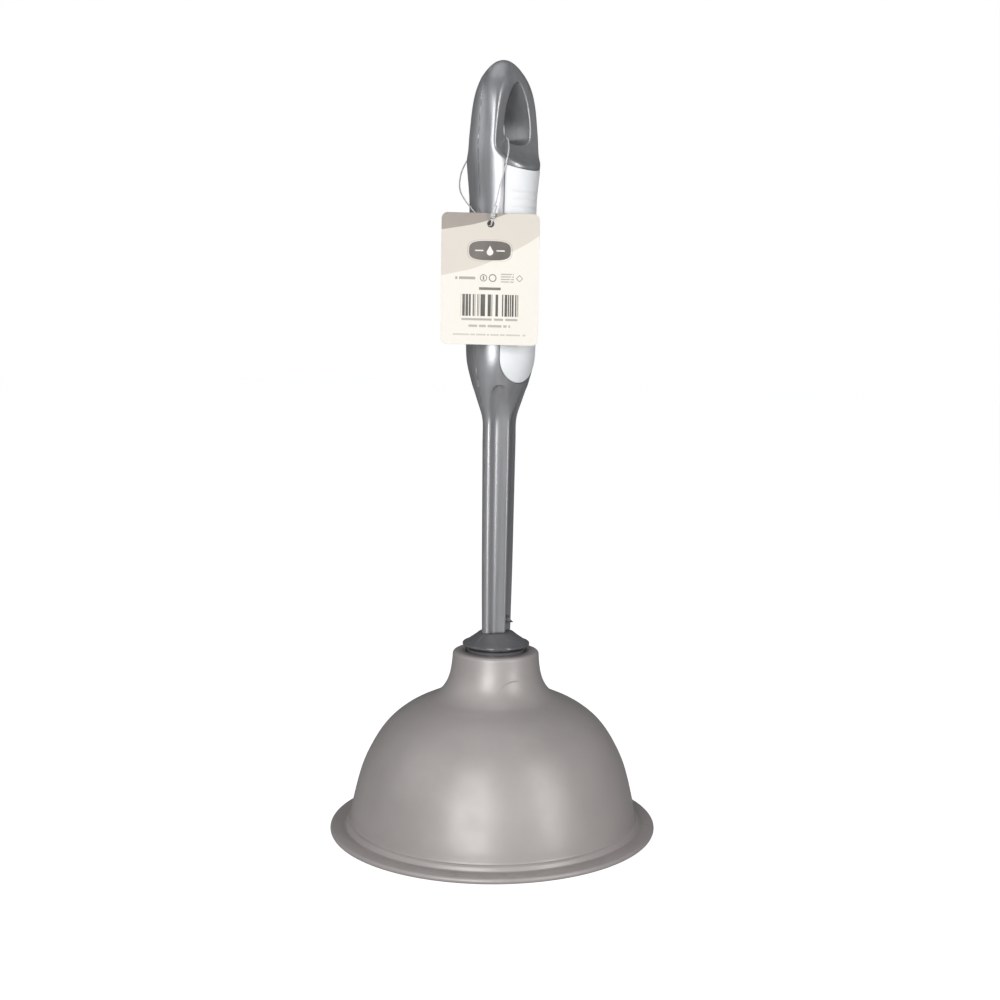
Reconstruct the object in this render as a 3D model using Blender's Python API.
"""Toilet plunger: soft cup, connector with a snap latch, two-shell handle, grip pad, hang tag.

Metres, +Z up. The origin is the centre of the rim's underside. The handle is wide along X,
its face with the grip pad looks along -Y, and its two shells meet in the plane Y = 0.
"""

from math import acos, cos, pi, radians, sin, sqrt

import bmesh
import bpy
from mathutils import Matrix, Vector

GAP = 0.0003  # clearance between neighbouring pieces
WELD = 1e-6

# Cup
RIM_RADIUS = 0.080
CUP_STEPS = 48
NECK_TOP = 0.0890
SOCKET_RADIUS = 0.0145
SOCKET_FLOOR = 0.0640
BARB_HEIGHTS = (0.0690, 0.0755, 0.0820)
BARB_RISE = 0.0008
CUP_OUTSIDE = (  # radius, height, from the neck down to the bead above the rim
    (0.0200, 0.0888), (0.0208, 0.0880), (0.0211, 0.0868), (0.0215, 0.0820), (0.0237, 0.0740),
    (0.0277, 0.0680), (0.0333, 0.0650), (0.0398, 0.0620), (0.0451, 0.0590), (0.0510, 0.0540),
    (0.0560, 0.0480), (0.0608, 0.0400), (0.0644, 0.0320), (0.0668, 0.0240), (0.0688, 0.0160),
    (0.0698, 0.0110), (0.0704, 0.0060), (0.0714, 0.0052), (0.0721, 0.0042), (0.0724, 0.0033),
    (0.0760, 0.0031),
)
RIM_EDGE_RADIUS = 0.0014
RIM_EDGE_HEIGHT = 0.0016
RIM_FOOT = ((0.0770, 0.0), (0.0668, 0.0), (0.0660, 0.0008))
CUP_INSIDE = (  # radius, height, from the foot up to the crown
    (0.0665, 0.0090), (0.0655, 0.0150), (0.0635, 0.0230), (0.0612, 0.0305), (0.0577, 0.0382),
    (0.0533, 0.0455), (0.0485, 0.0510), (0.0430, 0.0550), (0.0360, 0.0580), (0.0240, 0.0598),
)
CROWN_INSIDE = 0.0604

# Connector between handle and cup
FLANGE_RADIUS = 0.0164
FLANGE_BEAD_TOP = 0.0932
FLANGE_BOTTOM = 0.0915
CONE_TOP = 0.0982
CONE_TOP_RADIUS = 0.0083
PLUG_RADIUS = SOCKET_RADIUS - GAP
SPIGOT_RADIUS = 0.0037
SPIGOT_TOP = 0.1310
SPIGOT_STEPS = 36

# Snap latch: a springy tongue in a slot of the spigot, with a lug through the shaft's wall
LATCH_YAW = radians(-34)  # direction of the lug seen from above, from +X
LATCH_PIVOT_HEIGHT = 0.1270
TONGUE_WIDTH = 0.0030
TONGUE_INNER, TONGUE_OUTER = 0.0022, 0.0034
TONGUE_FOOT = 0.0993
LUG_HEIGHT = 0.1040
LUG_RADIUS = 0.0016
LUG_REACH_LOW, LUG_REACH_HIGH = 0.0086, 0.0056
LATCH_HOLE_RADIUS = 0.0023

# Handle
SHAFT_FOOT = 0.0985
HANDLE_TIP = 0.3702
HANDLE_STATIONS = (  # height, half width along X, half thickness along Y
    (SHAFT_FOOT, 0.0088, 0.0058), (0.1300, 0.0094, 0.0062), (0.1920, 0.0101, 0.0066),
    (0.2030, 0.0104, 0.0069), (0.2120, 0.0132, 0.0092), (0.2210, 0.0156, 0.0124),
    (0.2300, 0.0172, 0.0151), (0.2400, 0.0175, 0.0157), (0.3030, 0.0157, 0.0159),
    (0.3280, 0.0176, 0.0176), (0.3410, 0.0168, 0.0160), (0.3520, 0.0156, 0.0131),
    (0.3600, 0.0134, 0.0096), (0.3660, 0.0090, 0.0058), (HANDLE_TIP, 0.0, 0.0),
)
RING_HEIGHTS = (
    SHAFT_FOOT, 0.1300, 0.1650, 0.1920, 0.2000, 0.2050, 0.2085, 0.2120, 0.2160, 0.2200, 0.2250,
    0.2300, 0.2380, 0.2550, 0.2750, 0.2900, 0.3050, 0.3140, 0.3180, 0.3206, 0.3219, 0.3232,
    0.3252, 0.3278, 0.3310, 0.3360, 0.3420, 0.3480, 0.3530, 0.3570, 0.3605, 0.3635, 0.3660,
    0.3680, 0.3694, 0.3701,
)
FLUTE_DEPTH = 0.0020
FLUTE_TOP, FLUTE_FULL = 0.2190, 0.2090
FLUTE_CENTRE, FLUTE_SPAN = radians(36.5), radians(32.5)
RIB_EDGE = radians(4)
GRIP_EDGE = radians(60)
SCOOP = (  # height, largest half thickness left by the flat of the eye and the scoop under it
    (0.3206, 0.0176), (0.3232, 0.0137), (0.3252, 0.0110), (0.3278, 0.0092), (0.3310, 0.0085),
)
EYE_TOP, EYE_BOTTOM, EYE_HALF_WIDTH = 0.3594, 0.3309, 0.0090
EYE_WIDEST = 0.3370
BORE_RADIUS = 0.0040
CAVITY = (  # height, half width, half thickness of the hollow inside the shells
    (SHAFT_FOOT - 0.002, BORE_RADIUS, BORE_RADIUS), (0.1950, BORE_RADIUS, BORE_RADIUS),
    (0.2150, 0.0085, 0.0055), (0.2300, 0.0128, 0.0108), (0.2400, 0.0133, 0.0115),
    (0.3030, 0.0115, 0.0117), (0.3120, 0.0105, 0.0108), (0.3150, 0.0080, 0.0080),
)
STUDS = ((0.0, 0.3640), (0.0, 0.3235), (-0.0152, 0.2450), (0.0152, 0.2450))  # x, height
STUD_RADIUS, STUD_LENGTH = 0.0011, 0.0020

# Grip pad
PAD_HALF_ANGLE = radians(45)
PAD_TIP, PAD_SHOULDER = 0.2200, 0.2320
PAD_TOP, PAD_TOP_RISE = 0.3188, 0.0020
PAD_THICKNESS = 0.0015

# Hang tag: it hangs in front of the handle and a little to its left, turned by VIEW_YAW
VIEW_YAW = radians(-47)
TAG_WIDTH, TAG_HEIGHT, TAG_THICKNESS, TAG_CORNER = 0.0450, 0.0600, 0.0005, 0.0028
TAG_HOLE_RADIUS, TAG_HOLE_DROP = 0.0017, 0.0048
TAG_HOLE = (0.0220, -0.0054, 0.2930)  # forward, right, up
LOCK_LOW, LOCK_HIGH = (0.0238, -0.0048, 0.2954), (0.0238, -0.0034, 0.3014)
LOCK_RADIUS = 0.0012
STRING_DIAMETER = 0.0007
STRING_STEP = 0.0018
STRING_ROUTE = (  # forward, right, up: from the lock's top through the eye and back to its foot
    (0.0238, -0.0033, 0.3018), (0.0226, -0.0022, 0.3070), (0.0206, -0.0010, 0.3125),
    (0.0190, 0.0006, 0.3185), (0.0182, 0.0018, 0.3238), (0.0160, 0.0023, 0.3282),
    (0.0128, 0.0019, 0.3319), (0.0096, 0.0009, 0.3335), (0.0050, -0.0010, 0.3333),
    (0.0000, -0.0030, 0.3332), (-0.0050, -0.0055, 0.3332), (-0.0086, -0.0086, 0.3322),
    (-0.0110, -0.0130, 0.3297), (-0.0114, -0.0170, 0.3257), (-0.0090, -0.0196, 0.3204),
    (-0.0045, -0.0206, 0.3150), (0.0015, -0.0202, 0.3096), (0.0070, -0.0178, 0.3048),
    (0.0118, -0.0143, 0.3003), (0.0154, -0.0109, 0.2963), (0.0184, -0.0080, 0.2932),
    (0.0204, -0.0063, 0.2922), (0.0220, -0.0054, 0.2922), (0.0233, -0.0050, 0.2932),
    (0.0237, -0.0049, 0.2949),
)


def clear_scene():
    for old in list(bpy.data.objects):
        bpy.data.objects.remove(old, do_unlink=True)


def material(name, colour, roughness, metallic=0.0):
    made = bpy.data.materials.new(name)
    made.use_nodes = True
    shader = made.node_tree.nodes["Principled BSDF"]
    shader.inputs["Base Color"].default_value = (*colour, 1.0)
    shader.inputs["Roughness"].default_value = roughness
    shader.inputs["Metallic"].default_value = metallic
    return made


def add_object(name, mesh, surface=None, place=None):
    """Links a bmesh as an object. Without a surface it is a cutter, which isn't shown."""
    bmesh.ops.recalc_face_normals(mesh, faces=mesh.faces)
    data = bpy.data.meshes.new(name)
    mesh.to_mesh(data)
    mesh.free()
    made = bpy.data.objects.new(name, data)
    bpy.context.scene.collection.objects.link(made)
    if place:
        made.matrix_world = place
    if surface:
        data.materials.append(surface)
        data.shade_smooth()
        data.set_sharp_from_angle(angle=radians(35))
    else:
        made.hide_render = True
        made.display_type = "WIRE"
    return made


def combine(target, other, operation):
    step = target.modifiers.new(f"{operation.lower()}_{other.name}", "BOOLEAN")
    step.operation = operation
    step.object = other
    step.solver = "EXACT"


def turned(outline, steps):
    """A solid of revolution about Z from its half section, a list of (radius, height)."""
    mesh = bmesh.new()
    points = [mesh.verts.new((radius, 0, height)) for radius, height in outline]
    edges = [mesh.edges.new(pair) for pair in zip(points, points[1:])]
    bmesh.ops.spin(
        mesh, geom=points + edges, cent=(0, 0, 0), axis=(0, 0, 1),
        angle=2 * pi, steps=steps, use_merge=True,
    )
    bmesh.ops.remove_doubles(mesh, verts=mesh.verts, dist=WELD)
    return mesh


def lofted(rings):
    """A closed solid through rings of equally many points, with a flat end at each side."""
    mesh = bmesh.new()
    loops = [[mesh.verts.new(point) for point in ring] for ring in rings]
    count = len(loops[0])
    for low, high in zip(loops, loops[1:]):
        for i in range(count):
            j = (i + 1) % count
            mesh.faces.new((low[i], low[j], high[j], high[i]))
    mesh.faces.new(loops[0][::-1])
    mesh.faces.new(loops[-1])
    return mesh


def rod(radius, start, end, sides=16):
    """A cylinder between two points."""
    start, end = Vector(start), Vector(end)
    mesh = bmesh.new()
    turn = (end - start).to_track_quat("Z", "Y").to_matrix().to_4x4()
    bmesh.ops.create_cone(
        mesh, cap_ends=True, segments=sides, radius1=radius, radius2=radius,
        depth=(end - start).length, matrix=Matrix.Translation((start + end) / 2) @ turn,
    )
    return mesh


def bezier(a, b, c, d, steps):
    """Points along a cubic Bezier curve, without its last one."""
    a, b, c, d = Vector(a), Vector(b), Vector(c), Vector(d)
    for i in range(steps):
        t = i / steps
        s = 1 - t
        yield a * s**3 + b * (3 * s * s * t) + c * (3 * s * t * t) + d * t**3


def smooth_through(knots, x):
    """A smooth curve through (x, value) knots, read at x."""
    last = len(knots) - 1
    i = max(k for k in range(last) if knots[k][0] <= x or k == 0)

    def slope(k):
        low, high = knots[max(k - 1, 0)], knots[min(k + 1, last)]
        return (high[1] - low[1]) / (high[0] - low[0])

    (x0, y0), (x1, y1) = knots[i], knots[i + 1]
    span = x1 - x0
    t = (x - x0) / span
    return (
        y0 * (1 + 2 * t) * (1 - t) ** 2 + slope(i) * span * t * (1 - t) ** 2
        + y1 * t * t * (3 - 2 * t) + slope(i + 1) * span * t * t * (t - 1)
    )


def handle_size(height):
    """Half width and half thickness of the handle. The squares are smoothed, so the tip is round."""
    sizes = []
    for axis in (1, 2):
        knots = [(station[0], station[axis] ** 2) for station in HANDLE_STATIONS]
        sizes.append(sqrt(max(smooth_through(knots, height), 0.0)))
    return sizes


def flat_of_eye(height):
    """Largest half thickness at this height: the flats beside the eye and the scoop below them."""
    if height <= SCOOP[0][0]:
        return 1.0
    if height >= SCOOP[-1][0]:
        return SCOOP[-1][1]
    return smooth_through(SCOOP, height)


def flute(height, angle):
    """Depth of the shaft's flutes. The angle is counted from the face, 0 to a right angle."""
    fade = min(max((FLUTE_TOP - height) / (FLUTE_TOP - FLUTE_FULL), 0.0), 1.0)
    off = (angle - FLUTE_CENTRE) / FLUTE_SPAN
    return FLUTE_DEPTH * sqrt(fade) * max(0.0, 1 - off * off)


def handle_point(height, angle, inset=0.0):
    """A point of the handle's front surface, at an angle from the face towards +X."""
    width, thick = handle_size(height)
    normal = Vector((sin(angle) * thick, -cos(angle) * width)).normalized()
    deep = inset + flute(height, abs(angle))
    return width * sin(angle) - deep * normal.x, -thick * cos(angle) - deep * normal.y


def ring_angles(height):
    """Angles of one ring, from -X over the face to +X, with points on each ridge of the handle."""
    thick = handle_size(height)[1]
    flat = flat_of_eye(height)
    if height > SCOOP[0][0]:
        ridge = max(acos(min(flat / thick, 1.0)), radians(14))
    else:
        share = min(max((height - FLUTE_FULL) / (FLUTE_TOP - FLUTE_FULL), 0.0), 1.0)
        ridge = FLUTE_CENTRE + FLUTE_SPAN + share * (GRIP_EDGE - FLUTE_CENTRE - FLUTE_SPAN)
    half = [0.0, RIB_EDGE]
    half += [RIB_EDGE + (ridge - RIB_EDGE) * k / 6 for k in range(1, 7)]
    half += [ridge + (pi / 2 - ridge) * k / 4 for k in range(1, 5)]
    return [-angle for angle in reversed(half[1:])] + half


def half_shell(side):
    """The solid form of one half of the handle: side -1 is the front, 1 the back."""
    rings = []
    for height in RING_HEIGHTS:
        flat = flat_of_eye(height)
        ring = []
        for angle in ring_angles(height):
            x, y = handle_point(height, angle)
            ring.append((x, -side * min(max(y, -flat), -GAP / 2), height))
        rings.append(ring)
    return lofted(rings)


def cavity():
    """The hollow inside the handle: a round bore in the shaft that opens out in the grip."""
    rings = []
    for height, width, thick in CAVITY:
        turn = [2 * pi * k / 20 for k in range(20)]
        rings.append([(width * cos(a), thick * sin(a), height) for a in turn])
    return lofted(rings)


def eye_cutter():
    """The egg-shaped hang eye, longer than the head is thick."""
    wide, deep = EYE_HALF_WIDTH, 0.03
    outline = list(bezier((0, EYE_TOP), (0.0030, EYE_TOP), (wide, 0.3490), (wide, EYE_WIDEST), 7))
    outline += bezier((wide, EYE_WIDEST), (wide, 0.3322), (0.0065, EYE_BOTTOM), (0, EYE_BOTTOM), 6)
    outline.append(Vector((0, EYE_BOTTOM)))
    outline += [Vector((-point.x, point.y)) for point in reversed(outline[1:-1])]
    return lofted([[(p.x, y, p.y) for p in outline] for y in (-deep, deep)])


def pad_form(margin, outward):
    """The grip pad's form, grown by a margin at its edges and its back, and outwards."""
    columns, rows = 16, 22
    spread = PAD_HALF_ANGLE + margin / 0.016
    grid = []
    for column in range(columns + 1):
        share = sin(pi * (column / columns - 0.5))
        low = PAD_SHOULDER - (PAD_SHOULDER - PAD_TIP) * sqrt(1 - share * share) - margin
        high = PAD_TOP + PAD_TOP_RISE * share * share + margin
        heights = [low + (high - low) * row / rows for row in range(rows + 1)]
        grid.append([(height, spread * share) for height in heights])
    mesh = bmesh.new()
    layers = []
    for inset in (-outward, PAD_THICKNESS + margin):
        layers.append([
            [mesh.verts.new((*handle_point(h, angle, inset), h)) for h, angle in line]
            for line in grid
        ])
    outer, inner = layers
    for i in range(columns):
        for j in range(rows):
            mesh.faces.new((outer[i][j], outer[i + 1][j], outer[i + 1][j + 1], outer[i][j + 1]))
            mesh.faces.new((inner[i][j], inner[i][j + 1], inner[i + 1][j + 1], inner[i + 1][j]))
    for i in range(columns):
        for j in (0, rows):
            mesh.faces.new((outer[i][j], outer[i + 1][j], inner[i + 1][j], inner[i][j]))
    for j in range(rows):
        for i in (0, columns):
            mesh.faces.new((outer[i][j], outer[i][j + 1], inner[i][j + 1], inner[i][j]))
    return mesh


def latch_line(reach, height):
    """A point at a distance from the axis in the lug's direction."""
    return Vector((reach * cos(LATCH_YAW), reach * sin(LATCH_YAW), height))


def block(size, centre, yaw=0.0):
    mesh = bmesh.new()
    bmesh.ops.create_cube(mesh, size=1.0)
    bmesh.ops.scale(mesh, vec=size, verts=mesh.verts)
    bmesh.ops.rotate(mesh, matrix=Matrix.Rotation(yaw, 3, "Z"), verts=mesh.verts)
    bmesh.ops.translate(mesh, vec=centre, verts=mesh.verts)
    return mesh


def make_cup(surface):
    """One soft moulding: socket with barb grooves, neck, dome, bead and rim."""
    outline = [(0.0, SOCKET_FLOOR), (SOCKET_RADIUS, SOCKET_FLOOR)]
    for height in BARB_HEIGHTS:
        groove = SOCKET_RADIUS + BARB_RISE
        outline += [(SOCKET_RADIUS, height - 0.0020), (groove, height), (SOCKET_RADIUS, height + 0.0008)]
    outline += [(SOCKET_RADIUS, NECK_TOP), *CUP_OUTSIDE]
    edge = RIM_RADIUS - RIM_EDGE_RADIUS
    for k in range(5):
        turn = pi / 2 - pi * k / 4
        outline.append((edge + RIM_EDGE_RADIUS * cos(turn), RIM_EDGE_HEIGHT + RIM_EDGE_RADIUS * sin(turn)))
    outline += [*RIM_FOOT, *CUP_INSIDE, (0.0, CROWN_INSIDE)]
    add_object("cup", turned(outline, CUP_STEPS), surface)


def make_connector(surface):
    """Cone flange, barbed plug below it and slotted spigot above it."""
    outline = [(0.0, SOCKET_FLOOR + 2 * GAP), (PLUG_RADIUS - 0.001, SOCKET_FLOOR + 2 * GAP)]
    outline.append((PLUG_RADIUS, SOCKET_FLOOR + 0.0015))
    for height in BARB_HEIGHTS:
        barb = PLUG_RADIUS + BARB_RISE
        outline += [(PLUG_RADIUS, height - 0.0020), (barb, height), (PLUG_RADIUS, height + 0.0008)]
    outline += [
        (PLUG_RADIUS, FLANGE_BOTTOM), (FLANGE_RADIUS - 0.0008, FLANGE_BOTTOM),
        (FLANGE_RADIUS, FLANGE_BOTTOM + 0.0007), (FLANGE_RADIUS - 0.0003, FLANGE_BEAD_TOP),
        (CONE_TOP_RADIUS + 0.0002, CONE_TOP - 0.0002), (CONE_TOP_RADIUS, CONE_TOP),
        (SPIGOT_RADIUS, CONE_TOP), (SPIGOT_RADIUS, SPIGOT_TOP - 0.001),
        (SPIGOT_RADIUS - 0.001, SPIGOT_TOP), (0.0, SPIGOT_TOP),
    ]
    connector = add_object("connector", turned(outline, SPIGOT_STEPS), surface)
    low, high = TONGUE_FOOT - 2 * GAP, LATCH_PIVOT_HEIGHT + GAP
    size = (4 * SPIGOT_RADIUS, TONGUE_WIDTH + 2 * GAP, high - low)
    slot = add_object("spigot_slot", block(size, (0, 0, (low + high) / 2), LATCH_YAW))
    combine(connector, slot, "DIFFERENCE")


def make_latch(surface):
    """The tongue, with its origin on the hinge at its root, and the ramped lug."""
    middle = (TONGUE_INNER + TONGUE_OUTER) / 2
    size = (TONGUE_OUTER - TONGUE_INNER, TONGUE_WIDTH, LATCH_PIVOT_HEIGHT - TONGUE_FOOT)
    centre = latch_line(middle, (LATCH_PIVOT_HEIGHT + TONGUE_FOOT) / 2)
    pivot = latch_line(middle, LATCH_PIVOT_HEIGHT)
    tongue = block(size, centre - pivot, LATCH_YAW)
    latch = add_object("snap_latch", tongue, surface, Matrix.Translation(pivot))
    lug = rod(LUG_RADIUS, latch_line(middle, LUG_HEIGHT), latch_line(LUG_REACH_LOW, LUG_HEIGHT), 12)
    for vertex in lug.verts:
        reach = vertex.co.xy.length
        if reach > TONGUE_OUTER + 0.001:
            share = (vertex.co.z - LUG_HEIGHT + LUG_RADIUS) / (2 * LUG_RADIUS)
            ramp = LUG_REACH_LOW + (LUG_REACH_HIGH - LUG_REACH_LOW) * share
            vertex.co += latch_line(ramp - LUG_REACH_LOW, 0)
    combine(latch, add_object("lug_form", lug), "UNION")


def make_handle(front_surface, back_surface):
    """Two hollow half shells with the eye, the pad's seat, the latch hole and locating studs."""
    front = add_object("handle_front", half_shell(-1), front_surface)
    back = add_object("handle_back", half_shell(1), back_surface)
    hollow = add_object("handle_hollow", cavity())
    eye = add_object("eye_form", eye_cutter())
    for shell in (front, back):
        combine(shell, hollow, "DIFFERENCE")
        combine(shell, eye, "DIFFERENCE")
    combine(front, add_object("pad_seat", pad_form(GAP, 0.003)), "DIFFERENCE")
    start, end = latch_line(0.001, LUG_HEIGHT), latch_line(0.014, LUG_HEIGHT)
    combine(front, add_object("latch_hole", rod(LATCH_HOLE_RADIUS, start, end, 20)), "DIFFERENCE")
    for number, (x, height) in enumerate(STUDS):
        stud = rod(STUD_RADIUS, (x, 0.0015, height), (x, -STUD_LENGTH, height), 10)
        socket = rod(STUD_RADIUS + GAP, (x, 0.002, height), (x, -STUD_LENGTH - GAP, height), 10)
        combine(back, add_object(f"stud_{number}", stud), "UNION")
        combine(front, add_object(f"stud_socket_{number}", socket), "DIFFERENCE")


def view_point(forward, right, up):
    """World place of a point given as forward and right of the axis, as the tag looks, and up."""
    across = Vector((cos(VIEW_YAW), sin(VIEW_YAW), 0))
    ahead = Vector((sin(VIEW_YAW), -cos(VIEW_YAW), 0))
    return ahead * forward + across * right + Vector((0, 0, up))


def make_tag(surface):
    """The card, with its origin at the middle of its hole."""
    outline = []
    top, foot = TAG_HOLE_DROP, TAG_HOLE_DROP - TAG_HEIGHT
    corners = (
        (TAG_WIDTH / 2, top, 0), (-TAG_WIDTH / 2, top, 1),
        (-TAG_WIDTH / 2, foot, 2), (TAG_WIDTH / 2, foot, 3),
    )
    for x, z, quarter in corners:
        inner = (x - TAG_CORNER * (1 if x > 0 else -1), z - TAG_CORNER * (1 if z > foot else -1))
        for k in range(5):
            turn = pi / 2 * (quarter + k / 4)
            outline.append((inner[0] + TAG_CORNER * cos(turn), inner[1] + TAG_CORNER * sin(turn)))
    half = TAG_THICKNESS / 2
    mesh = lofted([[(x, y, z) for x, z in outline] for y in (-half, half)])
    place = Matrix.Translation(view_point(*TAG_HOLE)) @ Matrix.Rotation(VIEW_YAW, 4, "Z")
    tag = add_object("hang_tag", mesh, surface, place)
    hole = rod(TAG_HOLE_RADIUS, (0, -0.002, 0), (0, 0.002, 0), 20)
    combine(tag, add_object("tag_hole", hole, place=place), "DIFFERENCE")


def make_string(surface, lock_surface):
    """The nylon loop as one tube, and the lock that closes it."""
    knots = [view_point(*knot) for knot in STRING_ROUTE]
    distance = [0.0]
    for a, b in zip(knots, knots[1:]):
        distance.append(distance[-1] + (b - a).length)
    count = round(distance[-1] / STRING_STEP)
    curves = [[(d, knot[axis]) for d, knot in zip(distance, knots)] for axis in range(3)]
    reads = [distance[-1] * k / count for k in range(count + 1)]
    points = [[smooth_through(curve, read) for curve in curves] for read in reads]
    data = bpy.data.curves.new("tag_string", "CURVE")
    data.dimensions = "3D"
    data.bevel_depth = STRING_DIAMETER / 2
    data.bevel_resolution = 2
    data.use_fill_caps = True
    spline = data.splines.new("POLY")
    spline.points.add(count)
    for point, place in zip(spline.points, points):
        point.co = (*place, 1.0)
    data.materials.append(surface)
    bpy.context.scene.collection.objects.link(bpy.data.objects.new("tag_string", data))
    lock = rod(LOCK_RADIUS, view_point(*LOCK_LOW), view_point(*LOCK_HIGH), 12)
    pivot = view_point(*TAG_HOLE)
    bmesh.ops.translate(lock, vec=-pivot, verts=lock.verts)
    add_object("tag_string_lock", lock, lock_surface, Matrix.Translation(pivot))


def main():
    clear_scene()
    make_cup(material("pearl_pvc", (0.38, 0.36, 0.34), 0.42))
    make_connector(material("dark_grey_plastic", (0.12, 0.12, 0.13), 0.5))
    make_latch(material("latch_plastic", (0.10, 0.10, 0.11), 0.5))
    make_handle(
        material("silver_front", (0.27, 0.28, 0.30), 0.32, 0.35),
        material("silver_back", (0.27, 0.28, 0.30), 0.32, 0.35),
    )
    add_object("grip_pad", pad_form(0.0, 0.0002), material("grip_white", (0.86, 0.87, 0.88), 0.5))
    make_tag(material("tag_card", (0.87, 0.83, 0.78), 0.6))
    make_string(
        material("clear_nylon", (0.85, 0.86, 0.87), 0.2),
        material("lock_nylon", (0.85, 0.86, 0.87), 0.25),
    )


main()
